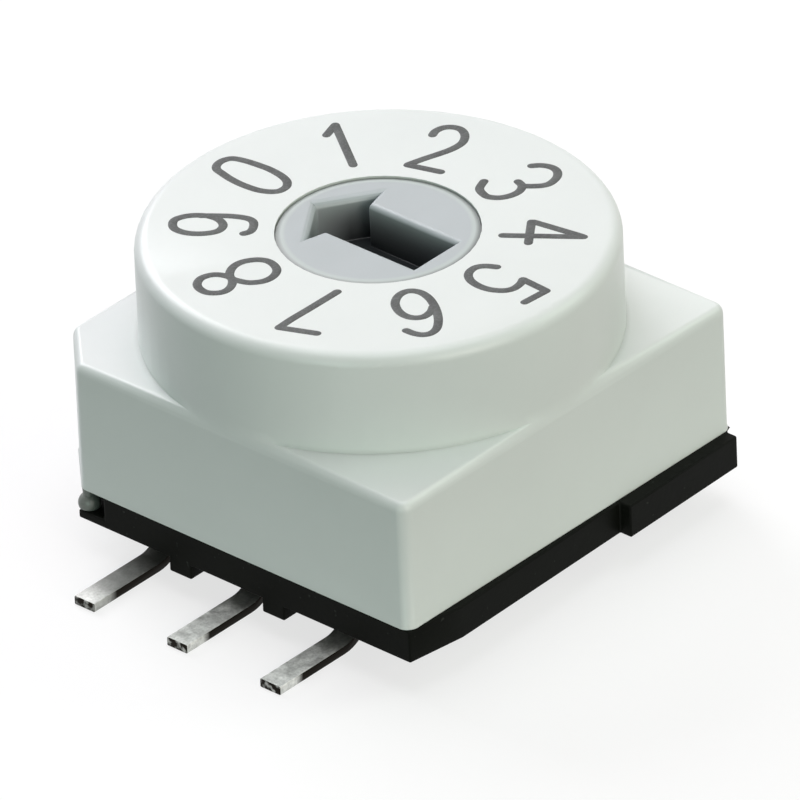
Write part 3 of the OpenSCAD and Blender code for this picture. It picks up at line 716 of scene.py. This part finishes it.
# The two detent balls: ground and hardened bearing steel, bright with faint scuffs. They click
# into the ten hollows round the inside of the housing as the rotor turns.
ball_steel, tree = blank("ground_bearing_steel")
spot = add(tree, "ShaderNodeTexCoord").outputs["Object"]
scuff = add(tree, "ShaderNodeTexNoise", {"Vector": spot, "Scale": 1 / (0.08 * mm), "Detail": 4.0})
colour = add(tree, "ShaderNodeMix", {
    "Factor": scuff, "A": linear("#B9BBBD"), "B": linear("#D2D4D6"),
}, data_type="RGBA")
finish = add(tree, "ShaderNodeBsdfPrincipled", {
    "Base Color": colour, "Metallic": 1.0,
    "Roughness": add(tree, "ShaderNodeMapRange", {"Value": scuff, "To Min": 0.08, "To Max": 0.22}),
    "Normal": add(tree, "ShaderNodeBump", {"Height": scuff, "Distance": 0.0005 * mm}),
})
add(tree, "ShaderNodeOutputMaterial", {"Surface": finish})
for node in ("detent_ball_right", "detent_ball_left"):
    ball = rounded_copy(node, node + "_ground")
    ball.data.materials.append(ball_steel)
    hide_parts(node)
    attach(ball, "rotor")


# The two detent springs: drawn steel wire wound into an open coil, one behind each ball in its
# hole in the rotor's flange. A darker grey than the balls, with the fine marks of drawing.
wire_steel, tree = blank("drawn_spring_wire")
spot = add(tree, "ShaderNodeTexCoord").outputs["Object"]
draw = add(tree, "ShaderNodeTexNoise", {"Vector": spot, "Scale": 1 / (0.05 * mm), "Detail": 3.0})
colour = add(tree, "ShaderNodeMix", {
    "Factor": draw, "A": linear("#8E9092"), "B": linear("#B4B6B8"),
}, data_type="RGBA")
finish = add(tree, "ShaderNodeBsdfPrincipled", {
    "Base Color": colour, "Metallic": 1.0,
    "Roughness": add(tree, "ShaderNodeMapRange", {"Value": draw, "To Min": 0.22, "To Max": 0.4}),
    "Normal": add(tree, "ShaderNodeBump", {"Height": draw, "Distance": 0.0008 * mm}),
})
add(tree, "ShaderNodeOutputMaterial", {"Surface": finish})

# both coils from one: wound along the axis, laid down in its hole and copied half a turn round
wire = 0.09
low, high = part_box("detent_spring_right")
coil_radius = (high.z - low.z) / 2 / mm - wire / 2
tree = bpy.data.node_groups.new("coil_springs", "GeometryNodeTree")
for label, value in (
    ("Wire thickness", wire * mm), ("Coil radius", coil_radius * mm), ("Turns", 5.0),
    ("Inner end", low.x + wire * mm / 2), ("Outer end", high.x - wire * mm / 2),
    ("Height", (low.z + high.z) / 2),
):
    socket = tree.interface.new_socket(label, in_out="INPUT", socket_type="NodeSocketFloat")
    socket.default_value = value
tree.interface.new_socket("Geometry", in_out="OUTPUT", socket_type="NodeSocketGeometry")
given = add(tree, "NodeGroupInput").outputs
length = add(tree, "ShaderNodeMath", {
    0: given["Outer end"], 1: given["Inner end"],
}, operation="SUBTRACT")
coil = add(tree, "GeometryNodeCurveSpiral", {
    "Resolution": 28, "Rotations": given["Turns"], "Start Radius": given["Coil radius"],
    "End Radius": given["Coil radius"], "Height": length,
})
half_wire = add(tree, "ShaderNodeMath", {0: given["Wire thickness"], 1: 2.0}, operation="DIVIDE")
section = add(tree, "GeometryNodeCurvePrimitiveCircle", {"Resolution": 10, "Radius": half_wire})
wound = add(tree, "GeometryNodeCurveToMesh", {
    "Curve": coil, "Profile Curve": section, "Fill Caps": True,
})
seat = add(tree, "ShaderNodeCombineXYZ", {"X": given["Inner end"], "Z": given["Height"]})
laid = add(tree, "GeometryNodeTransform", {
    "Geometry": wound, "Translation": seat, "Rotation": (0, math.pi / 2, 0),
})
across = add(tree, "GeometryNodeTransform", {"Geometry": laid, "Rotation": (0, 0, math.pi)})
pair = add(tree, "GeometryNodeJoinGeometry")
tree.links.new(laid.outputs[0], pair.inputs[0])
tree.links.new(across.outputs[0], pair.inputs[0])
solid = add(tree, "GeometryNodeRealizeInstances", {"Geometry": pair})
wired = add(tree, "GeometryNodeSetMaterial", {"Geometry": solid, "Material": wire_steel})
add(tree, "NodeGroupOutput", {0: wired})
springs = bpy.data.objects.new("detent_springs", bpy.data.meshes.new("detent_springs"))
scene.collection.objects.link(springs)
springs.modifiers.new("coils", "NODES").node_group = tree
smooth(springs)
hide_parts("detent_spring_right", "detent_spring_left")
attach(springs, "rotor")
